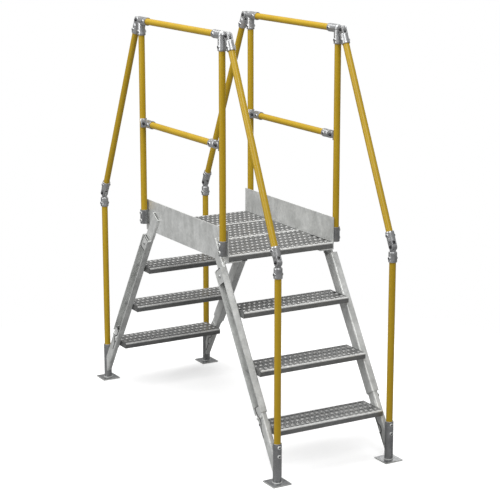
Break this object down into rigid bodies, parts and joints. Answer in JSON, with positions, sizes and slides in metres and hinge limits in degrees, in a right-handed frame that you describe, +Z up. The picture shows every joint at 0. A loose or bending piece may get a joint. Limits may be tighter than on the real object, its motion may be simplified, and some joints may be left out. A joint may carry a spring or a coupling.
{
  "type": "crossover ladder",
  "caption": "Galvanised steel crossover ladder: two stair flights meet at a raised deck with side plates and yellow pipe guard rails.",
  "frame": {"origin": "on the ground, midway between the two flights and between the two sides", "axes": "+X across the steps to the right, +Y along the way over from the front flight to the back flight, +Z up"},
  "size_m": [0.7498, 2.018, 2.1234],
  "materials": {
    "bright_zinc": "hot-dip galvanised, pale grey with faint spangle and streaks",
    "tread_zinc": "galvanised folded sheet, duller grey, with perforated and serrated tops",
    "yellow_coat": "safety yellow powder coat, satin",
    "cast_metal": "bare cast and tumbled, satin grey"
  },
  "bodies": {
    "root": {"deck_plank_1": "tread_zinc", "deck_plank_2": "tread_zinc", "deck_plank_3": "tread_zinc", "side_frame_left": "bright_zinc", "side_frame_right": "bright_zinc", "stringer_front_left": "bright_zinc", "stringer_front_right": "bright_zinc", "stringer_back_left": "bright_zinc", "stringer_back_right": "bright_zinc", "leg_front_left": "bright_zinc", "leg_front_right": "bright_zinc", "leg_back_left": "bright_zinc", "leg_back_right": "bright_zinc", "tread_front_1": "tread_zinc", "tread_front_2": "tread_zinc", "tread_front_3": "tread_zinc", "tread_back_1": "tread_zinc", "tread_back_2": "tread_zinc", "tread_back_3": "tread_zinc", "platform_post_front_left": "yellow_coat", "platform_post_front_right": "yellow_coat", "platform_post_back_left": "yellow_coat", "platform_post_back_right": "yellow_coat", "top_rail_left": "yellow_coat", "mid_rail_left": "yellow_coat", "mid_sockets_left": "cast_metal", "top_rail_right": "yellow_coat", "mid_rail_right": "yellow_coat", "mid_sockets_right": "cast_metal", "corner_fitting_front_left": "cast_metal", "corner_fitting_front_right": "cast_metal", "corner_fitting_back_left": "cast_metal", "corner_fitting_back_right": "cast_metal", "sloped_rail_front_left": "yellow_coat", "sloped_rail_front_right": "yellow_coat", "sloped_rail_back_left": "yellow_coat", "sloped_rail_back_right": "yellow_coat", "knuckle_front_left": "cast_metal", "knuckle_front_right": "cast_metal", "knuckle_back_left": "cast_metal", "knuckle_back_right": "cast_metal", "lower_post_front_left": "yellow_coat", "lower_post_front_right": "yellow_coat", "lower_post_back_left": "yellow_coat", "lower_post_back_right": "yellow_coat"}
  },
  "joints": []
}
